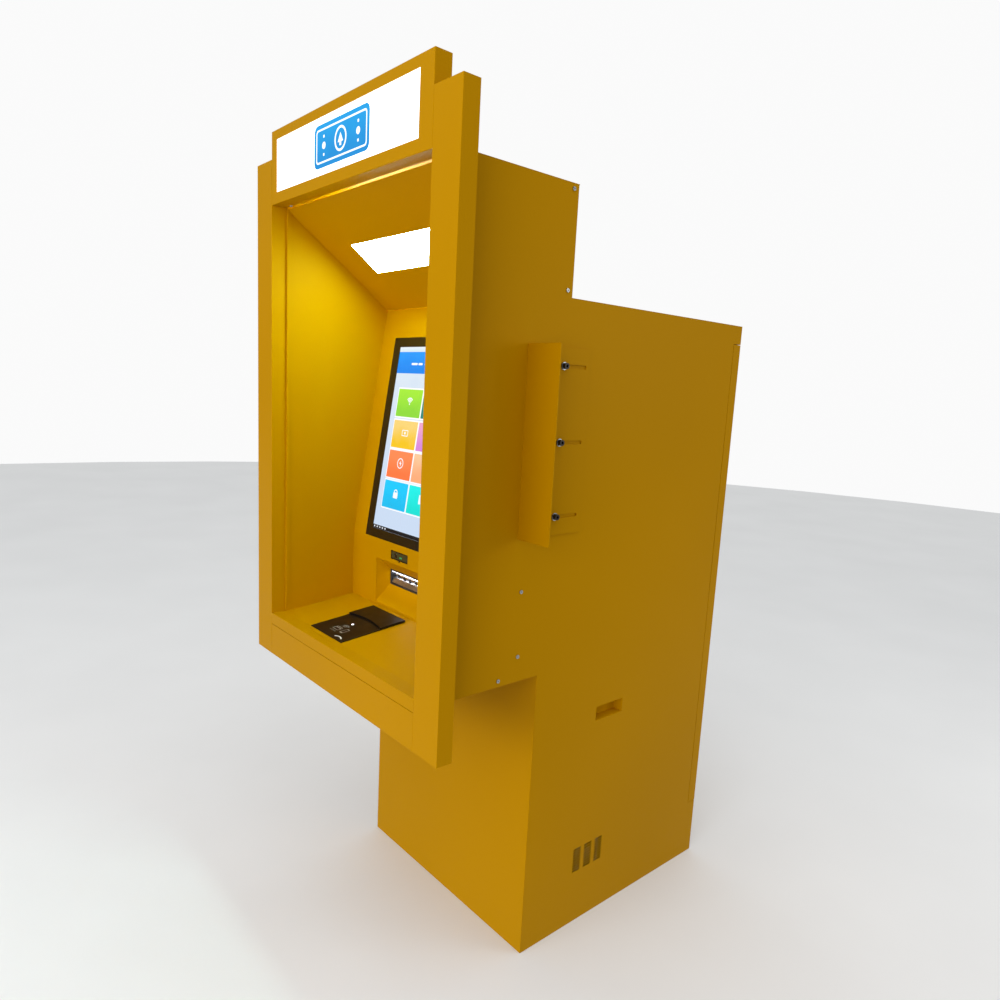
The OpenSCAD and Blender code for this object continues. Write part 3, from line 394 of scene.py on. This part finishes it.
class Drawing:
    """Flat shapes in the local X-Z plane, in millimetres, each a thin prism that faces -Y."""

    def __init__(self, place=None):
        self.mesh = bmesh.new()
        self.place = place or Matrix.Identity(4)

    def corner(self, x, y, z):
        return self.mesh.verts.new(self.place @ Vector((x * MM, y * MM, z * MM)))

    def ring_of(self, points, y):
        return [self.corner(x, y, z) for x, z in points]

    def shape(self, points, front, back):
        """A closed outline, drawn anticlockwise as seen from -Y, from front to back."""
        near = self.ring_of(points, front)
        far = self.ring_of(points, back)
        self.mesh.faces.new(near)
        self.mesh.faces.new(list(reversed(far)))
        for i in range(len(points)):
            j = (i + 1) % len(points)
            self.mesh.faces.new((near[j], near[i], far[i], far[j]))

    def loop(self, outer, inner, front, back):
        """A closed band between two outlines with the same number of points."""
        count = len(outer)
        corners = ((outer, front), (inner, front), (inner, back), (outer, back))
        rings = [self.ring_of(points, y) for points, y in corners]
        for a, b in ((0, 1), (1, 2), (2, 3), (3, 0)):
            for i in range(count):
                j = (i + 1) % count
                self.mesh.faces.new((rings[a][i], rings[a][j], rings[b][j], rings[b][i]))

    def ink(self, points, front):
        """A closed outline, INK thick."""
        self.shape(points, front, front + INK)

    def ink_loop(self, outer, inner, front):
        """A band between two outlines, INK thick."""
        self.loop(outer, inner, front, front + INK)

    def turned(self, profile, x, y, z, count=28):
        """A solid turned about a line along local Y; its profile runs from axis to axis as (radius, y)."""
        rings = []
        for radius, along in profile:
            if radius == 0:
                rings.append([self.corner(x, y + along, z)])
            else:
                rings.append(self.ring_of(arc(x, z, radius, count=count), y + along))
        for near, far in zip(rings, rings[1:]):
            for i in range(count):
                j = (i + 1) % count
                before = [near[i % len(near)], near[j % len(near)]]
                after = [far[j % len(far)], far[i % len(far)]]
                # a ring that is one point on the axis gives a triangle
                self.mesh.faces.new(list(dict.fromkeys(before + after)))

    def piece(self, name, finish, body, slot, bevel=0.0, segments=2):
        """Turn the drawing into a piece that rides on body; bevel rounds its edges, in millimetres."""
        bmesh.ops.recalc_face_normals(self.mesh, faces=self.mesh.faces)
        data = bpy.data.meshes.new(name)
        self.mesh.to_mesh(data)
        self.mesh.free()
        data.materials.append(finish)
        made = bpy.data.objects.new(name, data)
        bpy.context.scene.collection.objects.link(made)
        if bevel:
            edge = made.modifiers.new("edges", "BEVEL")
            edge.width = bevel * MM
            edge.segments = segments
            edge.limit_method = "ANGLE"
            edge.angle_limit = math.radians(40)
        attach(made, body)


def arc(cx, cz, r, start=0.0, end=360.0, count=32):
    """Points on an arc, in degrees, without the last point of a full turn."""
    full = abs(end - start) >= 360
    steps = count if full else count - 1
    return [
        (cx + r * math.cos(math.radians(start + (end - start) * i / steps)),
         cz + r * math.sin(math.radians(start + (end - start) * i / steps)))
        for i in range(count)
    ]


def rounded(x0, z0, x1, z1, r, count=6):
    """A rectangle with round corners, anticlockwise."""
    corners = ((x1 - r, z0 + r, -90), (x1 - r, z1 - r, 0), (x0 + r, z1 - r, 90), (x0 + r, z0 + r, 180))
    return [p for cx, cz, a in corners for p in arc(cx, cz, r, a, a + 90, count)]


def around(cx, cz, half_w, half_h, r, count=6):
    """A round-cornered rectangle about its centre."""
    return rounded(cx - half_w, cz - half_h, cx + half_w, cz + half_h, r, count)


def arch(cx, cz, r_in, r_out, start, end, count=16):
    """A band along an arc."""
    return arc(cx, cz, r_out, start, end, count) + list(reversed(arc(cx, cz, r_in, start, end, count)))


# ---------------------------------------------------------------- screen picture

# Millimetres on ON_SCREEN: the glass face, and the layers of the picture drawn on it.
GLASS = 0.75
PANEL_FRONT = GLASS - 0.1
RIM_FRONT = GLASS - 0.05
RIM_BACK = GLASS + 0.03
MARK_FRONT = GLASS - 0.18
PICTURE_HALF_W = 149.4
WHITE_LIT = lit_paint("display_white", "F2F8FF", "FFFFFF", 1.05)
HEADER_LIT = lit_paint("display_header_blue", "0088F4", "0A9BFF", 1.0)
STATUS_LIT = lit_paint("display_status", "DCEBF4", "EAF4FA", 1.0)
TASKBAR_LIT = lit_paint("display_taskbar", "0E1216", "181C20", 0.6)
TILE_COLOURS = {
    "green": ("8EDD3C", "A6EE3A"),
    "yellow": ("F9C81E", "FBD77A"),
    "orange": ("FF7A42", "FF8C55"),
    "cyan": ("00BEF2", "00CBFF"),
    "teal": ("23887E", "3BA79A"),
    "pink": ("D98BDF", "F0A6D2"),
    "peach": ("FFAE7C", "FBCB9E"),
    "turquoise": ("00E2D6", "0CF2EA"),
}
TILE_FINISH = {
    name: lit_paint("display_tile_" + name, low, high) for name, (low, high) in TILE_COLOURS.items()
}

TILE_W = 119
TILE_H = 79
TILE_GAP = 6
# the foot of each row, up the slope from the fascia's bend
TILE_ROWS = (363, 273, 186, 98)
TILE_GRID = (("green", "teal"), ("yellow", "pink"), ("orange", "peach"), ("cyan", "turquoise"))

# Each icon is drawn about (x, z), with its front at y.


def icon_signal(d, x, z, y):
    for r in (6, 11, 16):
        d.ink(arch(x, z - 6, r - 1.6, r + 1.6, 40, 140), y)
    d.ink(arc(x, z - 7, 2.6, count=16), y)


def icon_note(d, x, z, y):
    d.ink_loop(around(x, z, 15, 9, 2), around(x, z, 12.6, 6.6, 1), y)
    d.ink(arc(x, z, 4, count=20), y)


def icon_bolt(d, x, z, y):
    d.ink_loop(arc(x, z, 15, count=40), arc(x, z, 12.2, count=40), y)
    bolt = [(1.5, -9), (6, 2), (1, 2), (3, 9), (-5, -1), (0, -1)]
    d.ink([(x + a, z + b) for a, b in bolt], y)


def icon_padlock(d, x, z, y):
    d.ink(rounded(x - 11, z - 13, x + 11, z + 4, 3), y)
    d.ink(arch(x, z + 4, 5.5, 9, 0, 180), y)


def icon_phone(d, x, z, y):
    glass = rounded(x - 5.8, z - 9.5, x + 5.8, z + 10.5, 1)
    d.ink_loop(around(x, z, 8, 14, 3), glass, y)


def icon_card(d, x, z, y):
    d.ink_loop(around(x, z, 15, 10, 3), around(x, z, 12.8, 7.8, 1), y)
    d.ink(rounded(x - 12.8, z + 1.5, x + 12.8, z + 5, 0.5), y)


def icon_person(d, x, z, y):
    d.ink(arc(x, z + 6, 5.5, count=24), y)
    d.ink(arc(x, z - 12, 11, 0, 180, 20), y)


def icon_receipt(d, x, z, y):
    teeth = [(x + 10 - 4 * i, z - 13 + (2.5 if i % 2 else 0)) for i in range(6)]
    d.ink([(x - 10, z + 13)] + list(reversed(teeth)) + [(x + 10, z + 13)], y)


ICONS = (
    (icon_signal, icon_phone),
    (icon_note, icon_card),
    (icon_bolt, icon_person),
    (icon_padlock, icon_receipt),
)


def screen_panel(name, points, finish):
    d = Drawing(ON_SCREEN)
    d.ink(points, PANEL_FRONT)
    d.piece(name, finish, "cabinet", "screen_picture")


def screen_band(name, foot, top, finish):
    """A band across the whole picture."""
    screen_panel(name, rounded(-PICTURE_HALF_W, foot, PICTURE_HALF_W, top, 0.2, 2), finish)


def build_screen():
    screen_band("screen_status_strip", 548.5, 562.3, STATUS_LIT)
    screen_band("screen_header_band", 487, 548.3, HEADER_LIT)
    screen_band("screen_taskbar", 31.2, 41.4, TASKBAR_LIT)
    marks = Drawing(ON_SCREEN)
    rims = Drawing(ON_SCREEN)
    for row, pair in enumerate(TILE_GRID):
        for column, name in enumerate(pair):
            x0 = TILE_GAP / 2 + (column - 1) * (TILE_W + TILE_GAP)
            z0 = TILE_ROWS[row]
            x1 = x0 + TILE_W
            z1 = z0 + TILE_H
            screen_panel("screen_tile_" + name, rounded(x0, z0, x1, z1, 1.5, 3), TILE_FINISH[name])
            rims.shape(rounded(x0 - 3, z0 - 4, x1 + 3, z1 + 4, 2, 3), RIM_FRONT, RIM_BACK)
            ICONS[row][column](marks, x0 + TILE_W * 0.52, z0 + TILE_H * 0.56, MARK_FRONT)
    # the title is a row of plain bars with a short one above it
    for x0, x1 in ((-80, -50), (-46, -26), (-16, 22), (27, 44), (49, 80)):
        marks.ink(rounded(x0, 511, x1, 517, 3, 4), MARK_FRONT)
    marks.ink(rounded(-10, 530, 10, 533, 1.4, 3), MARK_FRONT)
    for i in range(5):
        marks.ink(rounded(-144 + 14 * i, 34, -139 + 14 * i, 38.5, 1, 3), MARK_FRONT)
    marks.piece("screen_marks", WHITE_LIT, "cabinet", "screen_picture")
    rims.piece("screen_tile_rims", WHITE_LIT, "cabinet", "screen_picture")


build_screen()

# ---------------------------------------------------------------- sign

SIGN_BLUE = lit_paint("sign_print_blue", "0C93DE", "12A6EE", 1.0, roughness=0.35)
SIGN_WHITE = lit_paint("sign_print_white", "F6FAFF", "FFFFFF", 1.3, roughness=0.35)
# front and back of each layer of print, in millimetres from the panel's face
SIGN_BLUE_Y = (-0.35, 0.1)
SIGN_WHITE_Y = (-0.55, -0.3)


def build_sign():
    """A plain banknote with a coin, printed on the opal panel."""
    low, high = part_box("header_diffuser")
    place = Matrix.Translation((0, low.y, (low.z + high.z) / 2))
    blue = Drawing(place)
    blue.shape(around(0, 0, 125, 48, 16), *SIGN_BLUE_Y)
    blue.piece("sign_note", SIGN_BLUE, "cabinet", "light_panel")
    white = Drawing(place)
    white.loop(around(0, 0, 115, 38, 9), around(0, 0, 111, 34, 6), *SIGN_WHITE_Y)
    white.loop(arc(0, 0, 27, count=64), arc(0, 0, 22, count=64), *SIGN_WHITE_Y)
    for x in (-78, 78):
        white.shape(arc(x, 0, 8, count=32), *SIGN_WHITE_Y)
        for z in (20, -20):
            white.shape(around(x, z, 3, 3, 1, 3), *SIGN_WHITE_Y)
    arrow = [(-12, -7), (-4, -7), (-4, -15), (4, -15), (4, -7), (12, -7), (0, 13)]
    white.shape(arrow, *SIGN_WHITE_Y)
    white.piece("sign_marks", SIGN_WHITE, "cabinet", "light_panel")


build_sign()

# ---------------------------------------------------------------- alcove mouth

# millimetres: from the middle plane, back from the mouth, and short of the header
TRIM_X = (353.0, 355.0)
TRIM_Y = (0.2, 11)
TRIM_GAP = 0.1


def build_mouth_trim():
    """Folded strips up both sides of the mouth, between the surround and the alcove walls."""
    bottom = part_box("shelf")[1].z / MM
    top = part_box("header_box")[0].z / MM - TRIM_GAP
    for side, name in ((-1, "left"), (1, "right")):
        d = Drawing(Matrix.Translation((0, MOUTH_Y, 0)))
        x0, x1 = sorted(side * x for x in TRIM_X)
        d.shape([(x0, bottom), (x1, bottom), (x1, top), (x0, top)], *TRIM_Y)
        d.piece("mouth_trim_" + name, PAINT, "cabinet", "cabinet_paint", 0.4)


build_mouth_trim()

# ---------------------------------------------------------------- reader, scanner and cash intake

READER_X = middle("reader_body", 0)
# height of the reader's pad above the shelf
PAD_UP = 2.5 * MM
# On the reader's pad: +X right, +Z up the slope, -Y off the surface.
ON_PAD = (
    Matrix.Translation((READER_X, MOUTH_Y, SHELF_FRONT_Z))
    @ Matrix.Rotation(SHELF_TILT, 4, "X")
    @ Matrix.Translation((0, 0, PAD_UP))
    @ Matrix.Rotation(math.radians(-90), 4, "X")
)
# front and back of the print, in millimetres from the pad
PAD_INK_Y = (-0.12, 0.1)
PRINT = moulding("printed_grey", "8E8A80", 0.5, 0.0005)
PRINT_PALE = moulding("printed_pale", "D6D4CE", 0.45, 0.0005)
OLIVE_GLASS = gloss_black("scanner_glass", "3B3A20", 0.18, 0.4)
LAMP_GREEN = lit_paint("lamp_green", "1F8E4E", "35B968", 0.9, roughness=0.3)
LAMP_WHITE = lit_paint("lamp_white", "F4F6FF", "FFFFFF", 3.0, roughness=0.3)
INTAKE_LIGHT = lit_paint("intake_light", "F2F4FF", "FFFFFF", 16.0, roughness=0.3)
BRUSHED = metal("brushed_guide", "B8B2A8", 0.34, (1, 30, 30))


def build_reader_marks():
    """Printed card and phone signs, a tap mark and a status lamp."""
    signs = Drawing(ON_PAD)
    signs.loop(rounded(-24, 34, 4, 52, 3), rounded(-22.4, 35.6, 2.4, 50.4, 2), *PAD_INK_Y)
    signs.shape(rounded(-22.4, 44.5, 2.4, 47.5, 0.5, 3), *PAD_INK_Y)
    signs.loop(rounded(16, 32, 30, 58, 3), rounded(17.4, 35.5, 28.6, 55.5, 1.5), *PAD_INK_Y)
    for r in (7, 12, 17):
        signs.shape(arch(-4, 54, r - 0.8, r + 0.8, 40, 140), *PAD_INK_Y)
    for i in range(4):
        signs.shape(rounded(-24 + 8 * i, 26, -19 + 8 * i, 28, 0.8, 3), *PAD_INK_Y)
    signs.piece("reader_signs", PRINT, "cabinet", "reader_black")
    mark = Drawing(ON_PAD)
    mark.shape(arch(48, -8, 22.5, 26.5, 48, 132), *PAD_INK_Y)
    mark.piece("reader_tap_mark", PRINT_PALE, "cabinet", "reader_black")
    lamp = Drawing(ON_PAD)
    lamp.turned([(0, -1.0), (2.0, -0.8), (3.4, -0.3), (3.8, 0.2), (0, 0.2)], -3.5, 0, 85)
    lamp.piece("reader_lamp", LAMP_WHITE, "cabinet", "light_panel")


# foot and top of the scanner's window, in millimetres above the floor
SCANNER_Z = (990, 1015)


def build_scanner():
    """Tinted window, lens and status lamp in the scanner's face."""
    face = Matrix.Translation((SERVICE_X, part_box("code_scanner")[0].y, 0))
    bottom, top = SCANNER_Z
    glass = Drawing(face)
    glass.shape(rounded(-38.5, bottom + 3, 38.5, top - 3, 1.5, 4), -0.3, 0.1)
    glass.piece("scanner_glass", OLIVE_GLASS, "cabinet", "scanner_black", 0.1, 1)
    lens = Drawing(face)
    ring = [(0, -0.35), (4.5, -0.35), (5.2, -0.9), (7.2, -0.9), (7.6, 0.0), (0, 0.0)]
    lens.turned(ring, -18, 0, (bottom + top) / 2)
    lens.piece("scanner_lens_ring", BORDER, "cabinet", "scanner_black")
    lamp = Drawing(face)
    lamp.shape(rounded(2, 998, 14, 1002, 1.6, 4), -0.6, -0.2)
    lamp.piece("scanner_lamp", LAMP_GREEN, "cabinet", "scanner_black")


# the throat's frame, in millimetres at each side and at top and bottom
THROAT_SIDE = 10
THROAT_LIP = 9


def build_intake():
    """Light strip over the feed rollers, and the steel guide below the note slot."""
    low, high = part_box("note_throat")
    x0 = low.x / MM + THROAT_SIDE
    x1 = high.x / MM - THROAT_SIDE
    z0 = low.z / MM + THROAT_LIP
    z1 = high.z / MM - THROAT_LIP
    front = low.y / MM
    strip = Drawing()
    strip.shape([(x0, z1 - 1.2), (x1, z1 - 1.2), (x1, z1 - 0.2), (x0, z1 - 0.2)], front + 2, front + 7)
    strip.piece("intake_light_strip", INTAKE_LIGHT, "cabinet", "light_panel")
    # the guide's section in the Y-Z plane, run along X
    sideways = Matrix.Rotation(math.radians(-90), 4, "Z")
    guide = Drawing(sideways)
    section = [(1.5, 1), (3, 1), (7.5, 12), (9, 14.5), (7.5, 15), (6, 12.5)]
    guide.shape([(-(front + y), z0 + z) for y, z in section], x0, x1)
    guide.piece("intake_guide", BRUSHED, "cabinet", "zinc_steel", 0.3)


# millimetres from the middle plane, and from the cabinet's centre towards the user
LINTEL_SCREW_X = 322
LINTEL_SCREW_OUT = 723


def build_lintel_screws():
    """Domed screws at both ends of the header's underside."""
    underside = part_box("header_box")[0].z / MM
    # local Y points up and local Z towards the user
    upright = Matrix.Rotation(math.radians(90), 4, "X")
    heads = Drawing(upright)
    dome = [(0, -0.9), (1.6, -0.9), (1.9, -2.3), (3.0, -2.0), (3.9, -1.1), (4.2, 0.0), (0, 0.0)]
    for x in (-LINTEL_SCREW_X, LINTEL_SCREW_X):
        heads.turned(dome, x, underside, LINTEL_SCREW_OUT)
    heads.piece("lintel_screws", ZINC, "cabinet", "zinc_steel")


build_reader_marks()
build_scanner()
build_intake()
build_lintel_screws()

# ---------------------------------------------------------------- stage, light and camera

# metres
FLOOR_HALF = 12
BACKDROP_R = 11.5


def build_floor():
    f = Finish("floor_pale")
    f.set(Base_Color=f.shades(f.noise(0.8, 4.0), (0.3, tone("ECECEB")), (0.7, tone("F0F0EF"))))
    f.set(Roughness=f.spread(f.noise(0.2, 4.0), 0.75, 0.9), Specular_IOR_Level=0.2)
    bm = bmesh.new()
    bmesh.ops.create_grid(bm, x_segments=4, y_segments=4, size=FLOOR_HALF)
    data = bpy.data.meshes.new("floor")
    bm.to_mesh(data)
    bm.free()
    data.materials.append(f.material)
    floor = bpy.data.objects.new("floor", data)
    floor.location.z = -0.0005
    floor.visible_diffuse = False
    bpy.context.scene.collection.objects.link(floor)


def build_backdrop():
    """A white dome that only the camera sees, so it lights nothing."""
    f = Finish("backdrop_white")
    f.set(Base_Color=(0, 0, 0, 1), Specular_IOR_Level=0.0)
    f.set(Emission_Color=(1, 1, 1, 1), Emission_Strength=0.96)
    bm = bmesh.new()
    bmesh.ops.create_uvsphere(bm, u_segments=48, v_segments=24, radius=BACKDROP_R)
    data = bpy.data.meshes.new("backdrop")
    bm.to_mesh(data)
    bm.free()
    data.materials.append(f.material)
    dome = bpy.data.objects.new("backdrop", data)
    dome.visible_diffuse = False
    dome.visible_glossy = False
    dome.visible_transmission = False
    dome.visible_shadow = False
    bpy.context.scene.collection.objects.link(dome)


def soft_light(name, place, target, size, power):
    """A round lamp, size metres across and power watts, aimed at target."""
    lamp = bpy.data.lights.new(name, "AREA")
    lamp.shape = "DISK"
    lamp.size = size
    lamp.energy = power
    made = bpy.data.objects.new(name, lamp)
    made.location = place
    made.rotation_euler = (Vector(target) - Vector(place)).to_track_quat("-Z", "Y").to_euler()
    bpy.context.scene.collection.objects.link(made)


def build_sky():
    """Soft light from all round: dim at the horizon, bright overhead, weaker from below."""
    world = bpy.data.worlds.new("studio")
    world.use_nodes = True
    tree = world.node_tree
    direction = tree.nodes.new("ShaderNodeTexCoord").outputs["Generated"]
    height = tree.nodes.new("ShaderNodeSeparateXYZ")
    tree.links.new(direction, height.inputs["Vector"])
    parts = []
    for end, horizon, pole in ((1, 0.12, 1.1), (-1, 0.0, 0.5)):
        climb = tree.nodes.new("ShaderNodeMapRange")
        climb.inputs["From Max"].default_value = end
        climb.inputs["To Min"].default_value = horizon
        climb.inputs["To Max"].default_value = pole
        tree.links.new(height.outputs["Z"], climb.inputs["Value"])
        parts.append(climb.outputs["Result"])
    total = tree.nodes.new("ShaderNodeMath")
    for part, socket in zip(parts, total.inputs):
        tree.links.new(part, socket)
    background = tree.nodes["Background"]
    background.inputs["Color"].default_value = (0.97, 0.985, 1.0, 1)
    tree.links.new(total.outputs[0], background.inputs["Strength"])
    bpy.context.scene.world = world


def build_light():
    build_sky()
    centre = (0, -0.4, 1.1)
    soft_light("key", (2.3, -5.0, 1.6), centre, 4.5, 140)
    soft_light("fill", (-0.5, -5.0, 1.7), centre, 1.8, 44)
    soft_light("side", (3.0, 2.2, 1.8), (0.3, 0, 1.1), 1.5, 18)


def build_camera():
    lens = bpy.data.cameras.new("camera")
    lens.lens = 26.59
    lens.sensor_width = 36
    lens.shift_x = 0.0071
    lens.shift_y = 0.0111
    lens.clip_start = 0.05
    camera = bpy.data.objects.new("camera", lens)
    camera.location = (1.5945, -1.6327, 1.4852)
    camera.rotation_euler = [math.radians(a) for a in (80.514, -2.835, 49.502)]
    bpy.context.scene.collection.objects.link(camera)
    bpy.context.scene.camera = camera
    bpy.context.scene.view_settings.view_transform = "Standard"


build_floor()
build_backdrop()
build_light()
build_camera()
